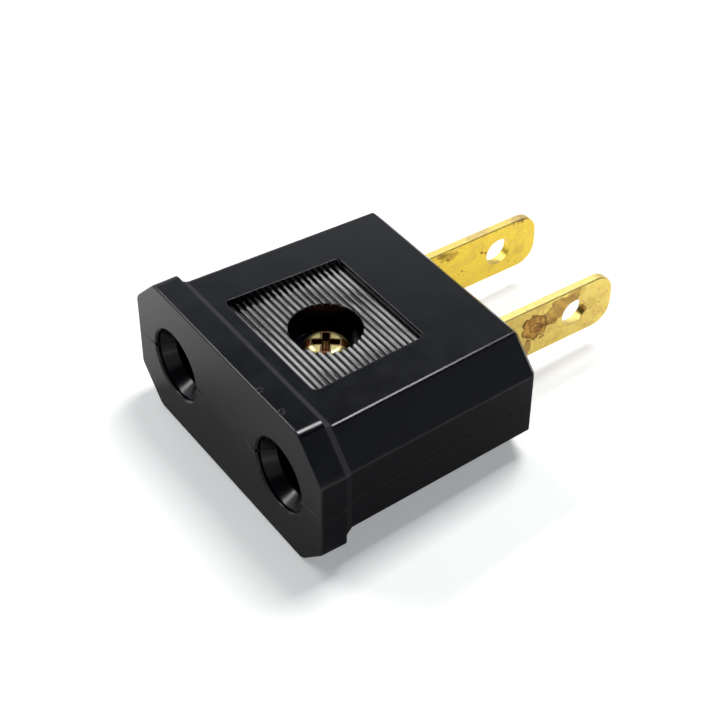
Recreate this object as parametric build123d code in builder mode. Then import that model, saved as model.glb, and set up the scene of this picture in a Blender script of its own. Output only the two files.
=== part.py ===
"""Plug adapter: a round two-pin socket in front, two flat blades behind.

The housing is two moulded shells that meet on the plane through the socket
axes, held by one screw in a deep well. Inside, each blade is riveted to the
tab of a rolled brass sleeve that grips a round pin.

Frame: X across the width, +Y out of the rear face along the blades, +Z up.
The origin is on the rear face, midway between the blades, on the parting plane.
"""
import os
from math import cos, radians, sin

from build123d import *

# Housing outline
body_length = 26.5
body_width_front = 32.4
body_width_rear = 30.4
body_height = 13.8
body_chamfer = 3.3
body_corner_r = 0.6
rear_bevel = 0.5
flange_length = 2.8
flange_width = 33.7
flange_height = 16.2
flange_chamfer_top = 3.85
flange_chamfer_bottom = 3.55
flange_corner_r = 1.2
flange_bevel = 0.12
neck_step = 0.45
neck_run = 1.3
seam_groove = 0.18
seam_notch = 0.34
seam_notch_length = 2.6
pip_places = [(6.06, -26.0), (9.69, -26.0)]
pip_r = 0.35
pip_height = 0.18

# Ribbed grip panel
panel_front = -21.3
panel_rear = -8.0
panel_width_front = 16.0
panel_width_rear = 14.8
panel_depth = 1.23
panel_corner_r = 0.6
rib_count = 19
rib_pitch = 0.68
rib_middle = -14.43
rib_width = 0.62
rib_height = 0.29
rib_facets = 5

# Round-pin sockets
socket_spacing = 19.0
socket_r = 3.9
socket_rim = 0.2
socket_straight = 0.5
socket_lead = 1.4
sleeve_room_r = 3.1
sleeve_room_end = -5.3
sleeve_inner_r = 2.0
sleeve_outer_r = 2.5
sleeve_mouth_r = 2.95
sleeve_flare = 0.8
sleeve_front = -19.3
sleeve_rear = -6.6
sleeve_slit = 0.9

# Flat blades
blade_spacing = 12.7
blade_thickness = 1.0
blade_width = 6.35
blade_reach = 17.3
blade_tip_r = 2.4
blade_bevel = 0.12
blade_hole_r = 1.6
blade_hole_reach = 12.1
blade_tail_width = 8.2
blade_tail_end = -5.9
rear_wall = 1.8
slot_gap = 0.05
tail_room = 3.15

# Rivets and the tabs that they hold
tab_width = 3.0
tab_end = -2.4
rivet_y = -4.1
rivet_r = 0.8
rivet_head_r = 1.4
rivet_room_r = 1.7

# Clamp screw in its well
well_y = -14.6
well_r = 3.75
screw_seat_z = 2.5
screw_hole_r = 1.6
screw_r = 1.45
screw_head_r = 2.5
screw_head_height = 1.7
screw_length = 7.2
cross_length = 3.0
cross_width = 0.9
cross_depth = 1.15
cross_turn = 55

# Locating pegs on the parting plane
peg_places = [(0, -22.9), (0, -4.6)]
peg_r = 1.1
peg_height = 1.8

os.makedirs("parts", exist_ok=True)

blade_x = blade_spacing / 2
socket_x = socket_spacing / 2
flange_back = -body_length + flange_length
tab_inner_x = blade_x + blade_thickness / 2
tab_thickness = sleeve_outer_r - sleeve_inner_r
rib_angles = [radians(180 * step / rib_facets) for step in range(rib_facets + 1)]
rib_points = [(rib_width / 2 * cos(a), rib_height * sin(a)) for a in rib_angles]

# Outside of the housing, both shells together
with BuildPart() as envelope:
    with BuildSketch(Plane.XZ.offset(-flange_back)) as body_front:
        Rectangle(body_width_front, body_height)
        chamfer(body_front.vertices(), body_chamfer)
    with BuildSketch(Plane.XZ) as body_rear:
        Rectangle(body_width_rear, body_height)
        chamfer(body_rear.vertices(), body_chamfer)
    loft(ruled=True)
    fillet(envelope.edges().filter_by(lambda e: e.length > 20 and abs(e.tangent_at(0.5).Y) > 0.9), body_corner_r)
    chamfer(envelope.faces().sort_by(Axis.Y)[-1].edges(), rear_bevel)
    with BuildSketch(Plane.XZ.offset(-flange_back)) as flange_outline:
        Rectangle(flange_width, flange_height)
        chamfer(flange_outline.vertices().group_by(Axis.Y)[-1], flange_chamfer_top)
        chamfer(flange_outline.vertices().group_by(Axis.Y)[0], flange_chamfer_bottom)
        fillet(flange_outline.vertices(), flange_corner_r)
    extrude(amount=flange_length)
    with BuildSketch(Plane.XZ.offset(-flange_back)) as neck_front:
        Rectangle(body_width_front + 2 * neck_step, body_height + 2 * neck_step)
        chamfer(neck_front.vertices(), body_chamfer + 0.59 * neck_step)
    with BuildSketch(Plane.XZ.offset(-flange_back - neck_run)) as neck_rear:
        Rectangle(body_width_front - 0.3, body_height - 0.2)
        chamfer(neck_rear.vertices(), body_chamfer)
    loft(ruled=True)
    chamfer(envelope.faces().sort_by(Axis.Y)[0].edges(), flange_bevel)
    for side in (-1, 1):
        with BuildSketch(Plane.XZ.offset(-flange_back)):
            with Locations((side * body_width_front / 2, 0)):
                Rectangle(seam_groove, seam_groove, rotation=45)
        with BuildSketch(Plane.XZ):
            with Locations((side * body_width_rear / 2, 0)):
                Rectangle(seam_groove, seam_groove, rotation=45)
        loft(ruled=True, mode=Mode.SUBTRACT)
        with BuildSketch(Plane.XZ.offset(-flange_back)):
            with Locations((side * flange_width / 2, 0)):
                Rectangle(seam_groove, seam_groove, rotation=45)
        extrude(amount=flange_length, mode=Mode.SUBTRACT)
        with BuildSketch(Plane.XZ.offset(body_length)):
            for edge_x, way in ((side * (socket_x - socket_r), -side), (side * (socket_x + socket_r), side)):
                with BuildLine():
                    Polyline(
                        (edge_x - way * 0.3, -seam_notch / 2),
                        (edge_x + way * seam_notch_length, 0),
                        (edge_x - way * 0.3, seam_notch / 2),
                        close=True,
                    )
                make_face()
        extrude(amount=-seam_notch, mode=Mode.SUBTRACT)
    with BuildSketch(Plane.XY.offset(flange_height / 2)):
        with Locations(*pip_places):
            RegularPolygon(pip_r, 8)
    extrude(amount=pip_height, taper=35)

# Sunk grip panel as the space that it leaves: a pocket less its ribs
with BuildPart() as grip_space:
    with BuildSketch(Plane.XY.offset(body_height / 2 - panel_depth)) as panel_outline:
        with BuildLine():
            Polyline(
                (-panel_width_front / 2, panel_front),
                (panel_width_front / 2, panel_front),
                (panel_width_rear / 2, panel_rear),
                (-panel_width_rear / 2, panel_rear),
                close=True,
            )
        make_face()
        fillet(panel_outline.vertices(), panel_corner_r)
    extrude(amount=panel_depth)
    with BuildSketch(Plane.YZ):
        with BuildLine() as rib_profile:
            Polyline(*rib_points, close=True)
        rib_face = make_face(mode=Mode.PRIVATE)
        with Locations((rib_middle, body_height / 2 - panel_depth)):
            with GridLocations(rib_pitch, 0, rib_count, 1):
                add(rib_face)
    extrude(amount=panel_width_front, both=True, mode=Mode.SUBTRACT)

# Space for the metal parts, cut half from each shell
with BuildPart() as metal_space:
    for side in (-1, 1):
        with BuildSketch(Plane.XY):
            with BuildLine():
                Polyline(
                    (side * socket_x, -body_length),
                    (side * (socket_x + socket_r + socket_rim), -body_length),
                    (side * (socket_x + socket_r), -body_length + socket_rim),
                    (side * (socket_x + socket_r), -body_length + socket_straight),
                    (side * (socket_x + sleeve_room_r), -body_length + socket_straight + socket_lead),
                    (side * (socket_x + sleeve_room_r), sleeve_room_end),
                    (side * socket_x, sleeve_room_end),
                    close=True,
                )
            make_face()
        revolve(axis=Axis((side * socket_x, 0, 0), (0, 1, 0)))
        with BuildSketch(Plane.XZ.offset(-blade_tail_end)):
            with Locations((side * (blade_x + (tail_room - blade_thickness) / 2), 0)):
                Rectangle(tail_room, blade_tail_width)
        extrude(amount=blade_tail_end + rear_wall)
        with BuildSketch(Plane.XZ.offset(rear_wall)):
            with Locations((side * blade_x, 0)):
                Rectangle(blade_thickness + 2 * slot_gap, blade_width + 2 * slot_gap)
        extrude(amount=-rear_wall)
        with BuildSketch(Plane.YZ.offset(side * (blade_x - blade_thickness / 2 - 0.7))):
            with Locations((rivet_y, 0)):
                Circle(rivet_room_r)
        extrude(amount=side * 1.0)

# Upper shell, with the screw well and the sockets of the locating pegs
with BuildPart() as upper_shell:
    add(envelope.part)
    split(bisect_by=Plane.XY, keep=Keep.TOP)
    add(grip_space.part, mode=Mode.SUBTRACT)
    add(metal_space.part, mode=Mode.SUBTRACT)
    with BuildSketch(Plane.XY.offset(screw_seat_z)):
        with Locations((0, well_y)):
            Circle(well_r)
    extrude(amount=body_height, mode=Mode.SUBTRACT)
    with BuildSketch(Plane.XY):
        with Locations((0, well_y)):
            Circle(screw_hole_r)
    extrude(amount=screw_seat_z, mode=Mode.SUBTRACT)
    with BuildSketch(Plane.XY):
        with Locations(*peg_places):
            Circle(peg_r)
    extrude(amount=peg_height + 0.2, mode=Mode.SUBTRACT)
upper_shell.part.label = "upper_shell"

# Lower shell, with the boss hole of the screw and the locating pegs
with BuildPart() as lower_shell:
    add(envelope.part)
    split(bisect_by=Plane.XY, keep=Keep.BOTTOM)
    add(mirror(grip_space.part, about=Plane.XY), mode=Mode.SUBTRACT)
    add(metal_space.part, mode=Mode.SUBTRACT)
    with BuildSketch(Plane.XY):
        with Locations((0, well_y)):
            Circle(screw_r)
    extrude(amount=screw_seat_z - screw_length - 0.4, mode=Mode.SUBTRACT)
    with BuildSketch(Plane.XY):
        with Locations(*peg_places):
            Circle(peg_r)
    extrude(amount=peg_height)
    chamfer(lower_shell.edges().filter_by(GeomType.CIRCLE).group_by(Axis.Z)[-1], 0.3)
lower_shell.part.label = "lower_shell"

# Pan-head screw with a cross recess
with BuildPart() as clamp_screw:
    with BuildSketch(Plane.XZ.offset(-well_y)):
        with BuildLine():
            Polyline(
                (0, screw_seat_z + screw_head_height),
                (screw_head_r * 0.62, screw_seat_z + screw_head_height - 0.12),
            )
            ThreePointArc(
                (screw_head_r * 0.62, screw_seat_z + screw_head_height - 0.12),
                (screw_head_r * 0.9, screw_seat_z + screw_head_height * 0.62),
                (screw_head_r, screw_seat_z + 0.25),
            )
            Polyline(
                (screw_head_r, screw_seat_z + 0.25),
                (screw_head_r, screw_seat_z),
                (screw_r, screw_seat_z),
                (screw_r, screw_seat_z - screw_length + 1.2),
                (0.25, screw_seat_z - screw_length),
                (0, screw_seat_z - screw_length),
                (0, screw_seat_z + screw_head_height),
            )
        make_face()
    revolve(axis=Axis((0, well_y, 0), (0, 0, 1)))
    with BuildSketch(Plane.XY.offset(screw_seat_z + screw_head_height)):
        with Locations((0, well_y)):
            Rectangle(cross_length, cross_width, rotation=cross_turn)
            Rectangle(cross_width, cross_length, rotation=cross_turn)
    extrude(amount=-cross_depth, taper=12, mode=Mode.SUBTRACT)
clamp_screw.part.label = "clamp_screw"

# Right-hand blade: shank with a rounded, bevelled tip, and a wider tail
with BuildPart() as blade_right:
    with BuildSketch(Plane.YZ.offset(blade_x - blade_thickness / 2)) as shank_outline:
        with Locations(((blade_reach - rear_wall) / 2, 0)):
            Rectangle(blade_reach + rear_wall, blade_width)
        fillet(shank_outline.vertices().group_by(Axis.X)[-1], blade_tip_r)
    extrude(amount=blade_thickness)
    shank_rim = blade_right.edges().filter_by(Axis.X, reverse=True)
    chamfer(shank_rim.filter_by(lambda e: e.center().Y > 0), blade_bevel)
    with BuildSketch(Plane.YZ.offset(blade_x - blade_thickness / 2)):
        with Locations((-(rear_wall - blade_tail_end) / 2, 0)):
            Rectangle(-blade_tail_end - rear_wall, blade_tail_width)
    extrude(amount=blade_thickness)
    with BuildSketch(Plane.YZ.offset(blade_x - blade_thickness / 2)):
        with Locations((blade_hole_reach, 0)):
            Circle(blade_hole_r)
        with Locations((rivet_y, 0)):
            Circle(rivet_r)
    extrude(amount=blade_thickness, mode=Mode.SUBTRACT)
blade_right.part.label = "blade_right"

# Right-hand contact: a slit sleeve with a flared mouth, and its flat tab
with BuildPart() as contact_right:
    with BuildSketch(Plane.XY):
        with BuildLine():
            Polyline(
                (socket_x + sleeve_inner_r, sleeve_rear),
                (socket_x + sleeve_outer_r, sleeve_rear),
                (socket_x + sleeve_outer_r, sleeve_front + sleeve_flare),
                (socket_x + sleeve_mouth_r, sleeve_front),
                (socket_x + sleeve_mouth_r - 0.5, sleeve_front),
                (socket_x + sleeve_inner_r, sleeve_front + sleeve_flare),
                close=True,
            )
        make_face()
    revolve(axis=Axis((socket_x, 0, 0), (0, 1, 0)))
    with BuildSketch(Plane.XZ.offset(-sleeve_front)):
        with Locations((socket_x + sleeve_mouth_r / 2, 0)):
            Rectangle(sleeve_mouth_r, sleeve_slit)
    extrude(amount=-(sleeve_rear - sleeve_front), mode=Mode.SUBTRACT)
    with BuildSketch(Plane.YZ.offset(tab_inner_x)):
        with Locations(((sleeve_rear + tab_end) / 2, 0)):
            Rectangle(tab_end - sleeve_rear, tab_width)
        with Locations((sleeve_rear - 0.7, 0)):
            Rectangle(1.4, tab_width * 0.6)
        with Locations((rivet_y, 0)):
            Circle(rivet_r, mode=Mode.SUBTRACT)
    extrude(amount=tab_thickness)
    with BuildSketch(Plane.XZ.offset(-sleeve_rear)):
        with Locations((socket_x, 0)):
            Circle(sleeve_inner_r)
    extrude(amount=2.0, mode=Mode.SUBTRACT)
contact_right.part.label = "contact_right"

# Right-hand rivet through the blade's tail and the tab
with BuildPart() as rivet_right:
    with BuildSketch(Plane.YZ.offset(blade_x - blade_thickness / 2)):
        with Locations((rivet_y, 0)):
            Circle(rivet_r)
    extrude(amount=blade_thickness + tab_thickness)
    with BuildSketch(Plane.YZ.offset(tab_inner_x + tab_thickness)):
        with Locations((rivet_y, 0)):
            Circle(rivet_head_r)
    extrude(amount=0.65)
    chamfer(rivet_right.edges().group_by(Axis.X)[-1], 0.4)
    with BuildSketch(Plane.YZ.offset(blade_x - blade_thickness / 2)):
        with Locations((rivet_y, 0)):
            Circle(rivet_head_r)
    extrude(amount=-0.5)
    chamfer(rivet_right.edges().group_by(Axis.X)[0], 0.3)
rivet_right.part.label = "rivet_right"

pieces = [upper_shell.part, lower_shell.part, clamp_screw.part]
for piece in (blade_right.part, contact_right.part, rivet_right.part):
    twin = mirror(piece, about=Plane.YZ)
    twin.label = piece.label.replace("right", "left")
    pieces += [piece, twin]

for piece in pieces:
    export_step(piece, f"parts/{piece.label}.step")
    print(piece.label, round(piece.volume, 2))
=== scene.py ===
"""Plug adapter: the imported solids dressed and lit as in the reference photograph. Lengths are in metres."""
import math

import bpy
import numpy as np
from mathutils import Matrix, Vector

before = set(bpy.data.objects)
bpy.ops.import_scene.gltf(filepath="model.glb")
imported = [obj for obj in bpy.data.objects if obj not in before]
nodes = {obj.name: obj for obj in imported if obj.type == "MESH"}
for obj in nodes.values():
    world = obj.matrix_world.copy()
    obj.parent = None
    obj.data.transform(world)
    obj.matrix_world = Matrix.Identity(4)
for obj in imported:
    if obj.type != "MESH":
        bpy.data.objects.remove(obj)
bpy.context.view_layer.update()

scene = bpy.context.scene
scene.view_settings.view_transform = "Standard"

# Camera: a long lens looking down on the socket corner from the right-hand
# side, at the angles and the distance that fit the photograph's edges.
camera_azimuth = math.radians(54.706)
camera_elevation = math.radians(41.064)
camera_roll = math.radians(0.46)
camera_distance = 0.172004
camera_shift_right = -0.000364
camera_shift_up = -0.000433
camera_aim = Vector((0.0, -0.010, 0.0))
camera_lens = 84.644
camera_sensor = 36.0
camera_clip_near = 0.01
camera_clip_far = 10.0


def aimed(place, sideways, upward, backward):
    """The matrix of an object at place whose own X, Y and Z axes point sideways, upward and backward."""
    return Matrix.Translation(place) @ Matrix((sideways, upward, backward)).transposed().to_4x4()


back = Vector((
    math.sin(camera_azimuth) * math.cos(camera_elevation),
    -math.cos(camera_azimuth) * math.cos(camera_elevation),
    math.sin(camera_elevation),
))
level_right = Vector((math.cos(camera_azimuth), math.sin(camera_azimuth), 0.0))
level_up = back.cross(level_right)
right = math.cos(camera_roll) * level_right + math.sin(camera_roll) * level_up
up = -math.sin(camera_roll) * level_right + math.cos(camera_roll) * level_up
camera_place = camera_aim + camera_shift_right * right + camera_shift_up * up + camera_distance * back

camera = bpy.data.objects.new("camera", bpy.data.cameras.new("camera"))
scene.collection.objects.link(camera)
camera.data.sensor_width = camera_sensor
camera.data.lens = camera_lens
camera.data.clip_start = camera_clip_near
camera.data.clip_end = camera_clip_far
camera.matrix_world = aimed(camera_place, right, up, back)
scene.camera = camera

# Studio: a round white sweep tipped to meet the leaning flange, a softbox overhead
# behind, a strip light to the left and a dim room. Reflections see the sweep
# darker by the front and right of the adapter: a painted shadow on the sweep
# that only reflections see.
sweep_radius = 1.05
sweep_flat = 0.3
sweep_rise = 1.39
sweep_cells = 120
flange_foot = Vector((0.0, -0.0237, -0.0081))
flange_drop = 0.0012
foot_to_heel = 0.0232
lean = math.atan2(flange_drop, foot_to_heel)

# White of the sweep: its tone to bounced light and to what sees it, and the glow
# that the camera and the reflections get, from near the adapter to far out. The
# glow in reflections also falls to a share of itself from left to right.
bounced_tone = 0.8
seen_tone = 0.97
studio_white = (0.95, 0.98, 1.0, 1.0)
camera_glow_near, camera_glow_far = 0.32, 1.04
camera_glow_from, camera_glow_to = 0.08, 0.45
mirror_glow_near, mirror_glow_far = 0.08, 0.80
mirror_glow_from, mirror_glow_to = 0.45, 1.10
right_share = 0.25
right_share_from, right_share_to = -0.35, 0.45

# Painted shadows on the sweep, seen only in reflections: the middle, how far each is evenly dark, where it
# ends, and how dark it is.
reflected_shadows = (
    ((0.002, -0.0035, 0.0), 0.013, 0.042, 0.62),
    ((0.029, 0.0150, 0.0), 0.015, 0.028, 0.80),
)

# Lights: name, direction, distance, width and length, and power in watts.
lights = (
    ("softbox", (-0.10, 0.31, 0.945), 0.42, (0.16, 0.16), 1.30),
    ("strip_light", (-0.630, -0.27, 0.720), 0.42, (0.075, 0.34), 0.70),
)
room_level = 0.035


def grid_mesh(name, points):
    """A smooth mesh with one quad between each four neighbours of a (rows, columns, 3) array of points."""
    rows, columns = points.shape[:2]
    row = np.arange(rows - 1)[:, None]
    column = np.arange(columns - 1)[None, :]
    first = row * columns + column
    quads = np.stack([first, first + columns, first + columns + 1, first + 1], -1).reshape(-1, 4)
    mesh = bpy.data.meshes.new(name)
    mesh.from_pydata(points.reshape(-1, 3).tolist(), [], quads.tolist())
    mesh.polygons.foreach_set("use_smooth", np.full(len(quads), True))
    return mesh


def pressed_to_disc(u, v):
    """Square to disc: each coordinate times sweep_radius and the root of 1 less half the other squared."""
    return sweep_radius * u * np.sqrt(1.0 - v ** 2 / 2.0), sweep_radius * v * np.sqrt(1.0 - u ** 2 / 2.0)


def sweep_height(x, y):
    """Zero within sweep_flat of the middle, then sweep_rise times the square of the distance past it."""
    return sweep_rise * np.maximum(0.0, np.hypot(x, y) - sweep_flat) ** 2


def set_inputs(tree, pairs):
    """Gives each socket its value, or a link where the value is another node's output."""
    for socket, value in pairs:
        if isinstance(value, bpy.types.NodeSocket):
            tree.links.new(value, socket)
        else:
            socket.default_value = value


def add_node(tree, kind, settings=None, inputs=None):
    """Adds one node: settings are its properties, inputs its sockets by name or number."""
    node = tree.nodes.new("ShaderNode" + kind)
    for key, value in (settings or {}).items():
        setattr(node, key, value)
    set_inputs(tree, [(node.inputs[key], value) for key, value in (inputs or {}).items()])
    return node


def math_node(tree, operation, value, *others):
    """The output of one Math node, or of a row of them that takes in the other values in turn."""
    for other in others or (0.0,):
        value = add_node(tree, "Math", {"operation": operation}, {0: value, 1: other}).outputs[0]
    return value


def vector_node(tree, operation, value, other=(0.0, 0.0, 0.0)):
    """The outputs of one Vector Math node."""
    return add_node(tree, "VectorMath", {"operation": operation}, {0: value, 1: other}).outputs


def ramp(tree, value, low, high, to_low=0.0, to_high=1.0):
    """The output of a smoothstep Map Range from low..high to to_low..to_high."""
    return add_node(
        tree, "MapRange", {"interpolation_type": "SMOOTHSTEP"},
        {"Value": value, "From Min": low, "From Max": high, "To Min": to_low, "To Max": to_high},
    ).outputs[0]


def mix_color(tree, factor, first, second):
    """The colour between first and second at factor."""
    node = add_node(tree, "Mix", {"data_type": "RGBA"}, {"Factor": factor})
    set_inputs(tree, ((node.inputs[6], first), (node.inputs[7], second)))
    return node.outputs[2]


def grey(level):
    """An even grey."""
    return (level, level, level, 1.0)


line = np.linspace(-1.0, 1.0, sweep_cells)
sweep_x, sweep_y = pressed_to_disc(*np.meshgrid(line, line, indexing="ij"))
sweep_points = np.stack([sweep_x, sweep_y, sweep_height(sweep_x, sweep_y)], -1)
sweep = bpy.data.objects.new("sweep", grid_mesh("sweep", sweep_points))
scene.collection.objects.link(sweep)
sweep.matrix_world = Matrix.Translation(flange_foot) @ Matrix.Rotation(lean, 4, "X")

sweep_white = bpy.data.materials.new("sweep_white")
sweep_white.use_nodes = True
tree = sweep_white.node_tree
tree.nodes.clear()
rays = add_node(tree, "LightPath").outputs
mirrored = math_node(tree, "MAXIMUM", rays["Is Glossy Ray"], rays["Is Transmission Ray"])
seen = math_node(tree, "MAXIMUM", rays["Is Camera Ray"], mirrored)
spot = add_node(tree, "TexCoord").outputs["Object"]
spread = vector_node(tree, "LENGTH", spot)["Value"]
spot_x = add_node(tree, "SeparateXYZ", None, {0: spot}).outputs["X"]

tone = mix_color(tree, seen, grey(bounced_tone), grey(seen_tone))
# Painted shadow: the sweep's tone darkened round each middle, for glossy rays alone.
for middle, dark_to, clear_from, depth in reflected_shadows:
    from_shadow = vector_node(tree, "DISTANCE", spot, middle)["Value"]
    reflected_shadow = ramp(tree, from_shadow, dark_to, clear_from, depth, 0.0)
    reflected_shadow = math_node(tree, "MULTIPLY", reflected_shadow, rays["Is Glossy Ray"])
    tone = mix_color(tree, reflected_shadow, tone, grey(0.0))

camera_glow = ramp(tree, spread, camera_glow_from, camera_glow_to, camera_glow_near, camera_glow_far)
camera_glow = math_node(tree, "MULTIPLY", camera_glow, rays["Is Camera Ray"])
mirror_glow = ramp(tree, spread, mirror_glow_from, mirror_glow_to, mirror_glow_near, mirror_glow_far)
left_to_right = ramp(tree, spot_x, right_share_from, right_share_to, 1.0, right_share)
mirror_glow = math_node(tree, "MULTIPLY", mirror_glow, mirrored, left_to_right)
glow_level = math_node(tree, "ADD", camera_glow, mirror_glow)

paper = add_node(tree, "BsdfDiffuse", None, {"Color": tone})
glow = add_node(tree, "Emission", None, {"Color": studio_white, "Strength": glow_level})
glowing_paper = add_node(tree, "AddShader", None, {0: paper.outputs[0], 1: glow.outputs[0]})
add_node(tree, "OutputMaterial", None, {"Surface": glowing_paper.outputs[0]})
sweep.data.materials.append(sweep_white)

for name, towards, distance, size, power in lights:
    light = bpy.data.lights.new(name, "AREA")
    light.shape = "RECTANGLE"
    light.size, light.size_y = size
    light.energy = power
    lamp = bpy.data.objects.new(name, light)
    scene.collection.objects.link(lamp)
    lamp.visible_camera = False
    away = Vector(towards).normalized()
    sideways = Vector((0.0, 1.0, 0.0)).cross(away).normalized()
    lamp.matrix_world = aimed(away * distance, sideways, away.cross(sideways), away)

room = bpy.data.worlds.new("room")
room.use_nodes = True
room.node_tree.nodes["Background"].inputs["Color"].default_value = studio_white
room.node_tree.nodes["Background"].inputs["Strength"].default_value = room_level
scene.world = room

# Lower and upper shells: two halves injection-moulded in black plastic, with
# a satin skin, softly rounded edges and a painted highlight along the rib crests.
# They meet on the parting plane on two pegs and are held by the clamp screw.
black = (0.0012, 0.0018, 0.0048, 1.0)
rubbed = (0.012, 0.013, 0.015, 1.0)
crest_highlight_dim = (0.035, 0.036, 0.038, 1.0)
crest_highlight_bright = (0.50, 0.50, 0.49, 1.0)
smear_shade = 0.12
edge_shade = 0.2
rib_highlight_share = 0.9
shell_specular = 0.45
shell_edge_radius = 0.00016
shell_bump_depth = 0.000002
bevel_samples = 6
edge_turn_low, edge_turn_high = 0.004, 0.12
millimetres = (1000.0, 1000.0, 1000.0)

# Roughness of the clean skin, and what smears and grain add to it; then how
# far the waviness raises the height, and how deep a hair scratch cuts it.
skin_roughness = 0.17
smear_roughness = 0.035
grain_roughness = 0.06
wave_height = 9.0
hair_depth = 0.5

# Ribs, in millimetres: the ends of their row along Y, half their width, the
# heights between which their crests lie, and the height over which the painted
# crest highlight fades in. The crests' edge and core are shares of a rib's pitch from its middle.
rib_front, rib_rear, rib_count = -20.89, -7.97, 19
rib_half_width = 8.0
rib_low, rib_high, rib_fade = 5.74, 6.10, 0.12
crest_edge, crest_core = 0.25, 0.10


def new_group(name, inputs, outputs):
    """An empty shader node group: inputs are (name, kind, value), outputs are (name, kind)."""
    group = bpy.data.node_groups.new(name, "ShaderNodeTree")
    for label, kind, value in inputs:
        socket = group.interface.new_socket(label, in_out="INPUT", socket_type="NodeSocket" + kind)
        socket.default_value = value
    for label, kind in outputs:
        group.interface.new_socket(label, in_out="OUTPUT", socket_type="NodeSocket" + kind)
    return group, group.nodes.new("NodeGroupInput").outputs, group.nodes.new("NodeGroupOutput").inputs


def new_material(name):
    """A material with its tree, its Principled shader and the Object coordinates in millimetres."""
    material = bpy.data.materials.new(name)
    material.use_nodes = True
    tree = material.node_tree
    place = add_node(tree, "TexCoord").outputs["Object"]
    point = add_node(tree, "Mapping", None, {"Vector": place, "Scale": millimetres}).outputs[0]
    return material, tree, tree.nodes["Principled BSDF"], point


def give_finish(names, material):
    """Puts the material into every slot of the named nodes."""
    for name in names:
        for slot in nodes[name].material_slots:
            slot.material = material


def noise(tree, point, scale, detail=2.0, roughness=0.5, stretch=None):
    """The value of a Noise Texture; stretch scales the point's axes first."""
    if stretch:
        point = add_node(tree, "Mapping", None, {"Vector": point, "Scale": stretch}).outputs[0]
    inputs = {"Vector": point, "Scale": scale, "Detail": detail, "Roughness": roughness}
    return add_node(tree, "TexNoise", None, inputs).outputs["Fac"]


def rounded_normal(tree, radius):
    """The surface normal as if every edge had this radius."""
    return add_node(tree, "Bevel", {"samples": bevel_samples}, {"Radius": radius}).outputs[0]


def edge_mask(tree, normal):
    """1 on the edges that the rounded normal turns away from the true one, 0 on the flats."""
    flat = add_node(tree, "NewGeometry").outputs["True Normal"]
    agreement = vector_node(tree, "DOT_PRODUCT", normal, flat)["Value"]
    return ramp(tree, math_node(tree, "SUBTRACT", 1.0, agreement), edge_turn_low, edge_turn_high)


def link_bump(tree, shader, height, depth, normal):
    """Links a Bump node of this height, depth and base normal to the shader."""
    inputs = {"Strength": 1.0, "Distance": depth, "Height": height, "Normal": normal}
    tree.links.new(add_node(tree, "Bump", None, inputs).outputs[0], shader.inputs["Normal"])


# Moulded skin: grain, slow waviness, finger smears and hair scratches.
moulded, skin_in, skin_out = new_group(
    "moulded_skin",
    [("Point", "Vector", (0, 0, 0)), ("Grain Scale", "Float", 9.0), ("Smear", "Float", 0.5)],
    [("Shade", "Float"), ("Roughness", "Float"), ("Height", "Float")],
)
grain = noise(moulded, skin_in["Point"], skin_in["Grain Scale"], detail=3.0, roughness=0.6)
wave = noise(moulded, skin_in["Point"], scale=0.16, detail=1.0)
smear = ramp(moulded, noise(moulded, skin_in["Point"], scale=0.32, detail=4.0, roughness=0.6), 0.42, 0.68)
hair = ramp(moulded, noise(moulded, skin_in["Point"], scale=1.0, stretch=(0.5, 9.0, 9.0)), 0.66, 0.72)
height = math_node(moulded, "ADD", grain, math_node(moulded, "MULTIPLY", wave, wave_height))
height = math_node(moulded, "SUBTRACT", height, math_node(moulded, "MULTIPLY", hair, hair_depth))
rough = math_node(
    moulded, "ADD",
    math_node(moulded, "MULTIPLY", smear, smear_roughness),
    math_node(moulded, "MULTIPLY", grain, grain_roughness),
    skin_roughness,
)
moulded.links.new(math_node(moulded, "MULTIPLY", smear, skin_in["Smear"]), skin_out["Shade"])
moulded.links.new(rough, skin_out["Roughness"])
moulded.links.new(height, skin_out["Height"])

# Rib crests: a comb across Y, kept inside the panel and near the crests' height; it masks the painted crest
# highlight.
crests, crests_in, crests_out = new_group("rib_crests", [("Point", "Vector", (0, 0, 0))], [("Mask", "Float")])
axes = add_node(crests, "SeparateXYZ", None, {0: crests_in["Point"]}).outputs
ribs_per_millimetre = rib_count / (rib_rear - rib_front)
turn = math_node(crests, "MULTIPLY", math_node(crests, "SUBTRACT", axes["Y"], rib_front), ribs_per_millimetre)
middle = math_node(crests, "ABSOLUTE", math_node(crests, "SUBTRACT", math_node(crests, "FRACT", turn), 0.5))
side = math_node(crests, "ABSOLUTE", axes["X"])
level = math_node(crests, "ABSOLUTE", axes["Z"])
comb = math_node(
    crests, "MULTIPLY",
    ramp(crests, middle, crest_edge, crest_core),
    math_node(crests, "GREATER_THAN", turn, 0.0),
    math_node(crests, "LESS_THAN", turn, float(rib_count)),
    math_node(crests, "LESS_THAN", side, rib_half_width),
    ramp(crests, level, rib_low, rib_low + rib_fade),
    math_node(crests, "LESS_THAN", level, rib_high),
)
crests.links.new(comb, crests_out["Mask"])

housing_black, tree, shader, point = new_material("housing_black")
skin = add_node(tree, "Group", {"node_tree": moulded}, {"Point": point}).outputs
ribs = add_node(tree, "Group", {"node_tree": crests}, {"Point": point}).outputs["Mask"]
soft = rounded_normal(tree, shell_edge_radius)
edge = edge_mask(tree, soft)
color = mix_color(tree, math_node(tree, "MULTIPLY", skin["Shade"], smear_shade), black, rubbed)
color = mix_color(tree, math_node(tree, "MULTIPLY", edge, edge_shade), color, rubbed)
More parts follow.
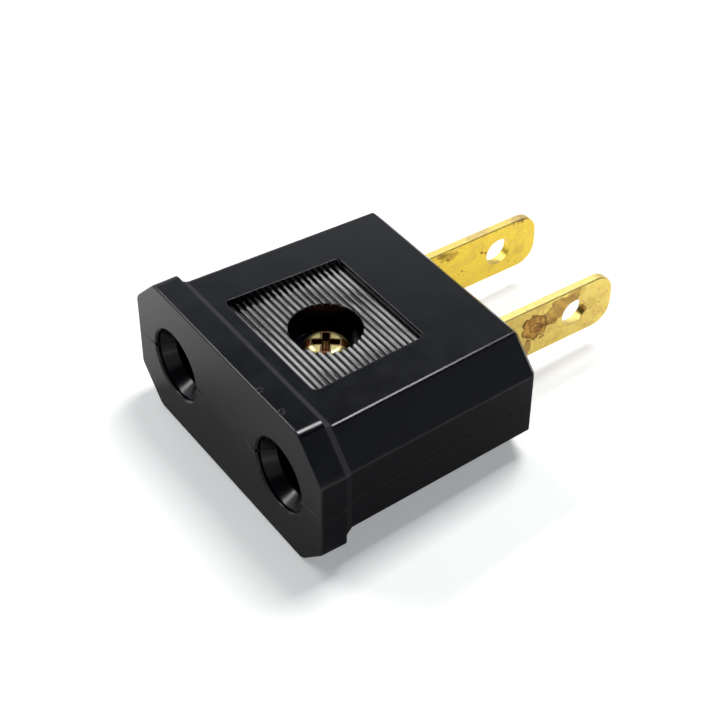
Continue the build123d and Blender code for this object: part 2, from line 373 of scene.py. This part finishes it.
# Painted highlight on the rib crests: a grey between dim and bright by slow noise, laid over the crests.
broad_highlight_variation = noise(tree, point, scale=0.17, detail=1.0)
fine_highlight_variation = noise(tree, point, scale=1.1, detail=3.0, roughness=0.6, stretch=(0.5, 1.6, 1.0))
highlight_variation = math_node(
    tree, "ADD", math_node(tree, "MULTIPLY", broad_highlight_variation, 0.75), math_node(tree, "MULTIPLY", fine_highlight_variation, 0.25)
)
crest_highlight = mix_color(tree, ramp(tree, highlight_variation, 0.40, 0.60), crest_highlight_dim, crest_highlight_bright)
color = mix_color(tree, math_node(tree, "MULTIPLY", ribs, rib_highlight_share), color, crest_highlight)
tree.links.new(color, shader.inputs["Base Color"])
tree.links.new(skin["Roughness"], shader.inputs["Roughness"])
link_bump(tree, shader, skin["Height"], shell_bump_depth, soft)
shader.inputs["Specular IOR Level"].default_value = shell_specular
give_finish(("lower_shell", "upper_shell"), housing_black)

# Contacts and their rivets: sleeves rolled from brass sheet with a slit along
# one side, each riveted by its tab to the tail of a blade.
sheet_brass = (0.80, 0.56, 0.16, 1.0)
rivet_metal = (0.82, 0.60, 0.22, 1.0)
pale_brass = (0.98, 0.86, 0.44, 1.0)
dull_brass = (0.70, 0.44, 0.11, 1.0)
stain_brown = (0.36, 0.19, 0.055, 1.0)
pinprick_brown = (0.16, 0.09, 0.03, 1.0)
pinprick_depth = 0.6
brass_edge_radius = 0.0001
brass_edge_shade = 0.7
brass_bump_depth = 0.0000015
sheared_facing_low, sheared_facing_high = 0.5, 0.9

# Roughness of clean brass, and what each mark adds to it at its strongest.
brass_roughness = 0.22
drawn_roughness = 0.12
tarnish_roughness = 0.15
stain_roughness = 0.18
edge_roughness = 0.30
sheared_roughness = 0.45

# Brass face: rolled grain along Y, cloudy tarnish and dark pinpricks.
brass_face, face_in, face_out = new_group(
    "brass_face",
    [
        ("Point", "Vector", (0, 0, 0)),
        ("Clean", "Color", sheet_brass),
        ("Dull", "Color", dull_brass),
        ("Tarnish", "Float", 0.3),
        ("Stain", "Float", 0.0),
        ("Stain Color", "Color", stain_brown),
    ],
    [("Color", "Color"), ("Roughness", "Float"), ("Height", "Float")],
)
cloud = noise(brass_face, face_in["Point"], scale=0.50, detail=6.0, roughness=0.68)
cloud = math_node(brass_face, "MULTIPLY", ramp(brass_face, cloud, 0.42, 0.72), face_in["Tarnish"])
drawn = noise(brass_face, face_in["Point"], scale=1.0, detail=3.0, roughness=0.55, stretch=(14.0, 1.1, 14.0))
prick = noise(brass_face, face_in["Point"], scale=2.9, detail=1.0, roughness=0.4)
prick = ramp(brass_face, prick, 0.68, 0.74)
pinpricks = math_node(brass_face, "MULTIPLY", prick, face_in["Tarnish"])
color = mix_color(brass_face, cloud, face_in["Clean"], face_in["Dull"])
color = mix_color(brass_face, face_in["Stain"], color, face_in["Stain Color"])
color = mix_color(brass_face, pinpricks, color, pinprick_brown)
rough = math_node(
    brass_face, "ADD", brass_roughness,
    math_node(brass_face, "MULTIPLY", drawn, drawn_roughness),
    math_node(brass_face, "MULTIPLY", cloud, tarnish_roughness),
    math_node(brass_face, "MULTIPLY", face_in["Stain"], stain_roughness),
)
height = math_node(brass_face, "SUBTRACT", drawn, math_node(brass_face, "MULTIPLY", prick, pinprick_depth))
brass_face.links.new(color, face_out["Color"])
brass_face.links.new(rough, face_out["Roughness"])
brass_face.links.new(height, face_out["Height"])


def brass_material(name, clean, tarnish, stain=None, sheared=0.0):
    """A brass on brass_face: stain gives a mask and a colour, sheared pales what faces up and down."""
    material, tree, shader, point = new_material(name)
    inputs = {"Point": point, "Clean": clean, "Dull": dull_brass, "Tarnish": tarnish}
    if stain:
        inputs["Stain"], inputs["Stain Color"] = stain(tree, point)
    face = add_node(tree, "Group", {"node_tree": brass_face}, inputs).outputs
    soft = rounded_normal(tree, brass_edge_radius)
    edge = edge_mask(tree, soft)
    bright = mix_color(tree, math_node(tree, "MULTIPLY", edge, brass_edge_shade), face["Color"], pale_brass)
    rough = math_node(tree, "ADD", face["Roughness"], math_node(tree, "MULTIPLY", edge, edge_roughness))
    if sheared:
        true_normal = add_node(tree, "NewGeometry").outputs["True Normal"]
        facing = add_node(tree, "SeparateXYZ", None, {0: true_normal}).outputs["Z"]
        facing = math_node(tree, "ABSOLUTE", facing)
        upright = ramp(tree, facing, sheared_facing_low, sheared_facing_high, 0.0, sheared)
        bright = mix_color(tree, upright, bright, pale_brass)
        rough = math_node(tree, "ADD", rough, math_node(tree, "MULTIPLY", upright, sheared_roughness))
    tree.links.new(bright, shader.inputs["Base Color"])
    tree.links.new(rough, shader.inputs["Roughness"])
    link_bump(tree, shader, face["Height"], brass_bump_depth, soft)
    shader.inputs["Metallic"].default_value = 1.0
    return material


give_finish(("contact_right", "contact_left"), brass_material("contact_brass", sheet_brass, tarnish=0.5))
give_finish(("rivet_right", "rivet_left"), brass_material("rivet_brass", rivet_metal, tarnish=0.3))

# Blades: stamped from flat brass strip, with a rounded tip and a hole. The
# right-hand one has a brown stain from its root to its hole; the other is
# cleaner, with dark pinpricks and a burnt corner at its tip.
near_brass = (0.96, 0.74, 0.18, 1.0)
near_brown = (0.74, 0.43, 0.09, 1.0)
near_dark_brown = (0.42, 0.20, 0.055, 1.0)
near_rim_brown = (0.22, 0.095, 0.032, 1.0)
far_brass = (0.95, 0.70, 0.085, 1.0)
far_brown = (0.42, 0.22, 0.06, 1.0)
far_dark_brown = (0.15, 0.065, 0.025, 1.0)
sheared_share = 0.40
patch_outline = 1.0
patch_blur = 0.06
patch_rim, patch_rim_width = 0.93, 0.16
patch_wander = 3.0

# Patches: centre and reach in millimetres, turn about X in radians, and strength.
near_patches = (
    ((6.85, 6.7, 0.5), (0.8, 1.9, 1.5), 0.5, 1.0),
    ((6.85, 7.0, 0.4), (0.8, 0.9, 0.6), 0.5, 1.0),
    ((6.85, 9.8, 1.45), (0.8, 2.6, 1.2), -0.3, 0.75),
    ((6.85, 9.4, 0.1), (0.8, 0.45, 0.3), -0.3, 1.0),
    ((6.85, 7.8, -1.2), (0.8, 0.4, 0.25), -0.3, 1.0),
    ((6.85, 5.9, -1.9), (0.8, 0.5, 1.1), 0.2, 0.7),
    ((6.85, 14.4, 0.2), (0.8, 0.8, 0.8), 0.0, 0.25),
    ((6.85, 11.6, 2.6), (0.8, 1.2, 0.35), -0.2, 0.7),
    ((6.6, 13.7, -0.3), (0.5, 0.30, 0.45), 0.0, 1.0),
    ((6.85, 12.9, 2.5), (0.8, 0.9, 0.5), -0.2, 0.35),
    ((6.85, 15.4, -1.3), (0.8, 0.7, 0.6), 0.0, 0.2),
)
far_patches = (
    ((-6.2, 15.2, 3.25), (1.6, 1.2, 0.5), 0.0, 0.8),
    ((-5.85, 5.4, 2.3), (0.8, 1.1, 0.5), 0.0, 0.5),
    ((-5.85, 4.3, 2.75), (0.8, 0.8, 0.3), 0.0, 0.7),
    ((-5.85, 9.8, 0.85), (0.8, 0.22, 0.16), 0.0, 1.0),
    ((-5.85, 10.3, 0.65), (0.8, 0.18, 0.16), 0.0, 1.0),
    ((-5.85, 7.1, -0.5), (0.8, 0.2, 0.15), 0.0, 0.9),
    ((-5.85, 5.1, 1.9), (0.8, 0.25, 0.15), 0.0, 0.9),
    ((-6.2, 9.5, 3.2), (0.8, 1.6, 0.12), 0.0, 0.6),
    ((-5.85, 15.0, -0.9), (0.8, 0.8, 0.6), 0.0, 0.2),
)

# Patch: an ellipsoid with a ragged outline, 1 inside and 0 outside, and its rim alone.
patch, patch_in, patch_out = new_group(
    "patch",
    [
        ("Point", "Vector", (0, 0, 0)),
        ("Centre", "Vector", (0, 0, 0)),
        ("Reach", "Vector", (1, 1, 1)),
        ("Turn", "Float", 0.0),
        ("Ragged", "Float", 0.5),
        ("Noise Scale", "Float", 0.9),
    ],
    [("Mask", "Float"), ("Rim", "Float")],
)
local = vector_node(patch, "SUBTRACT", patch_in["Point"], patch_in["Centre"])[0]
turned = {"Vector": local, "Angle": patch_in["Turn"]}
local = add_node(patch, "VectorRotate", {"rotation_type": "X_AXIS"}, turned).outputs[0]
local = vector_node(patch, "DIVIDE", local, patch_in["Reach"])[0]
ragged = noise(patch, patch_in["Point"], patch_in["Noise Scale"], detail=5.0, roughness=0.62)
ragged = math_node(patch, "SUBTRACT", ragged, 0.5)
ragged = math_node(patch, "MULTIPLY", ragged, patch_in["Ragged"], patch_wander)
far_out = math_node(patch, "ADD", vector_node(patch, "LENGTH", local)["Value"], ragged)
inside = ramp(patch, far_out, patch_outline + patch_blur, patch_outline - patch_blur)
from_rim = math_node(patch, "ABSOLUTE", math_node(patch, "SUBTRACT", far_out, patch_rim))
patch.links.new(inside, patch_out["Mask"])
patch.links.new(ramp(patch, from_rim, patch_rim_width, 0.0), patch_out["Rim"])


def place_patches(tree, point, rows, ragged, scale):
    """One patch node for each row; each one's outputs with its strength."""
    placed = []
    for centre, reach, turn, strength in rows:
        inputs = {"Point": point, "Centre": centre, "Reach": reach, "Turn": turn}
        inputs.update({"Ragged": ragged, "Noise Scale": scale})
        placed.append((add_node(tree, "Group", {"node_tree": patch}, inputs).outputs, strength))
    return placed


def strongest(tree, placed, label):
    """The greatest Mask or Rim of the placed patches, each times its strength."""
    parts = [math_node(tree, "MULTIPLY", outputs[label], strength) for outputs, strength in placed]
    return math_node(tree, "MAXIMUM", *parts)


def near_stain(tree, point):
    """Brown patches and streaks on the outer face, with darker rims; mask and colour."""
    placed = place_patches(tree, point, near_patches, ragged=0.5, scale=0.9)
    blotch = ramp(tree, noise(tree, point, scale=0.75, detail=4.0, roughness=0.6), 0.40, 0.62)
    color = mix_color(tree, blotch, near_brown, near_dark_brown)
    color = mix_color(tree, strongest(tree, placed, "Rim"), color, near_rim_brown)
    return strongest(tree, placed, "Mask"), color


def far_stain(tree, point):
    """A burnt corner at the tip, specks by the root and the hole; mask and colour."""
    placed = place_patches(tree, point, far_patches, ragged=0.9, scale=2.2)
    blotch = ramp(tree, noise(tree, point, scale=1.3, detail=3.0, roughness=0.6), 0.40, 0.60)
    return strongest(tree, placed, "Mask"), mix_color(tree, blotch, far_brown, far_dark_brown)


for name, brass, tarnish, stain in (
    ("blade_right", near_brass, 0.65, near_stain),
    ("blade_left", far_brass, 0.45, far_stain),
):
    finish_name = name.replace("blade", "blade_brass")
    give_finish((name,), brass_material(finish_name, brass, tarnish, stain, sheared_share))

# Clamp screw: a brass pan-head screw with a cross recess, at the bottom of
# its well. Its lands are left clean brass; it is dark brown along the recess arms and olive round the rim.
screw_metal = (0.98, 0.86, 0.40, 1.0)
recess_brown = (0.090, 0.028, 0.012, 1.0)
brim_olive = (0.16, 0.135, 0.03, 1.0)
brim_share = 0.85
brim_fade = 0.35
screw_place = (0.0, -14.6, 0.0)
cross_turn = math.radians(55.0)
cross_half_width = 0.62
cross_fade_in, cross_fade_out = 0.02, 0.16
arm_wobble_size = 0.22
pad_radius = 1.55


def screw_darkening(tree, point):
    """Dark brown within cross_half_width of the recess's two arms, olive past pad_radius; mask and colour."""
    local = vector_node(tree, "SUBTRACT", point, screw_place)[0]
    turned = {"Vector": local, "Angle": -cross_turn}
    local = add_node(tree, "VectorRotate", {"rotation_type": "Z_AXIS"}, turned).outputs[0]
    axes = add_node(tree, "SeparateXYZ", None, {0: local}).outputs
    along_x = math_node(tree, "ABSOLUTE", axes["X"])
    along_y = math_node(tree, "ABSOLUTE", axes["Y"])
    arm_wobble = math_node(tree, "MULTIPLY", noise(tree, point, scale=1.6, detail=3.0), arm_wobble_size)
    from_arm = math_node(tree, "ADD", math_node(tree, "MINIMUM", along_x, along_y), arm_wobble)
    cross = ramp(tree, from_arm, cross_half_width + cross_fade_out, cross_half_width - cross_fade_in)
    level = vector_node(tree, "MULTIPLY", local, (1.0, 1.0, 0.0))[0]
    from_middle = vector_node(tree, "LENGTH", level)["Value"]
    brim = ramp(tree, from_middle, pad_radius, pad_radius + brim_fade)
    mask = math_node(tree, "MAXIMUM", cross, math_node(tree, "MULTIPLY", brim, brim_share))
    return mask, mix_color(tree, cross, brim_olive, recess_brown)


give_finish(("clamp_screw",), brass_material("screw_brass", screw_metal, 0.3, screw_darkening))
